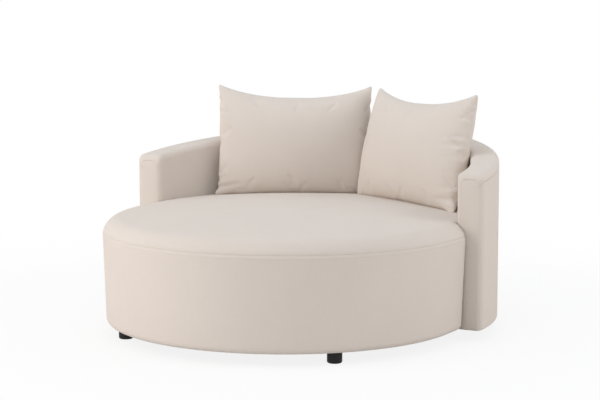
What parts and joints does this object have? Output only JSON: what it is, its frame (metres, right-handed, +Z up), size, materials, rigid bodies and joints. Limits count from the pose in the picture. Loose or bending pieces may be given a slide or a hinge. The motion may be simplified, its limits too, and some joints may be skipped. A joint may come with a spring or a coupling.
{
  "type": "round sofa",
  "caption": "Low round sofa: a drum-shaped seat in a curved back that forms the arms, with loose pillows.",
  "frame": {"origin": "on the floor, under the middle of the whole sofa", "axes": "+Z up, -Y towards the front, where a sitter's legs go; +X to the right of somebody facing the sofa's front"},
  "size_m": [1.3954, 1.4475, 0.8288],
  "materials": {
    "upholstery_fabric": "matte fine weave, light beige",
    "foam": "open-cell foam and wadding",
    "bent_board": "smooth hardboard",
    "plywood": "raw plywood",
    "timber": "planed softwood",
    "elastic_webbing": "woven elastic strap",
    "dust_cloth": "thin black non-woven cloth",
    "foot_plastic": "black satin",
    "zinc_steel": "bright zinc",
    "fibre_filling": "loose polyester fibre in a thin case",
    "zip_tape": "woven tape with nylon teeth"
  },
  "bodies": {
    "sofa": {"seat_top_cover": "upholstery_fabric", "seat_border_cover": "upholstery_fabric", "back_inside_cover": "upholstery_fabric", "back_outside_cover": "upholstery_fabric", "arm_end_cover_left": "upholstery_fabric", "arm_end_cover_right": "upholstery_fabric", "seat_foam_core": "foam", "seat_side_padding": "foam", "back_inside_padding": "foam", "back_outside_padding": "foam", "arm_end_padding_left": "foam", "arm_end_padding_right": "foam", "seat_side_board": "bent_board", "back_inside_board": "bent_board", "back_outside_board": "bent_board", "seat_bottom_ring": "plywood", "seat_top_ring": "plywood", "back_bottom_rail": "plywood", "back_top_rail": "plywood", "arm_end_board_left": "plywood", "arm_end_board_right": "plywood", "seat_post_front_left": "timber", "seat_post_front_right": "timber", "seat_post_rear_left": "timber", "seat_post_rear_right": "timber", "seat_post_side_left": "timber", "seat_post_side_right": "timber", "back_post_1": "timber", "back_post_2": "timber", "back_post_3": "timber", "back_post_4": "timber", "back_post_5": "timber", "seat_webbing_lengthwise_1": "elastic_webbing", "seat_webbing_lengthwise_2": "elastic_webbing", "seat_webbing_lengthwise_3": "elastic_webbing", "seat_webbing_lengthwise_4": "elastic_webbing", "seat_webbing_crosswise_1": "elastic_webbing", "seat_webbing_crosswise_2": "elastic_webbing", "seat_webbing_crosswise_3": "elastic_webbing", "seat_webbing_crosswise_4": "elastic_webbing", "seat_dust_cover": "dust_cloth", "back_dust_cover": "dust_cloth", "foot_front_left": "foot_plastic", "foot_front_right": "foot_plastic", "foot_rear_left": "foot_plastic", "foot_rear_right": "foot_plastic", "foot_stud_front_left": "zinc_steel", "foot_stud_front_right": "zinc_steel", "foot_stud_rear_left": "zinc_steel", "foot_stud_rear_right": "zinc_steel", "back_bolt_rear_left": "zinc_steel", "back_bolt_rear_right": "zinc_steel", "back_bolt_side_left": "zinc_steel", "back_bolt_side_right": "zinc_steel"},
    "pillow_left": {"pillow_cover_left": "upholstery_fabric", "pillow_filling_left": "fibre_filling", "pillow_zip_left": "zip_tape"},
    "pillow_right": {"pillow_cover_right": "upholstery_fabric", "pillow_filling_right": "fibre_filling", "pillow_zip_right": "zip_tape"}
  },
  "joints": [
    {"name": "pillow_left_lift", "type": "slide", "parent": "sofa", "child": "pillow_left", "axis": [-0.0897, 0.1505, 0.9845], "range_m": [0, 0.3]},
    {"name": "pillow_right_lift", "type": "slide", "parent": "sofa", "child": "pillow_right", "axis": [0, 0, 1], "range_m": [0, 0.3]}
  ]
}
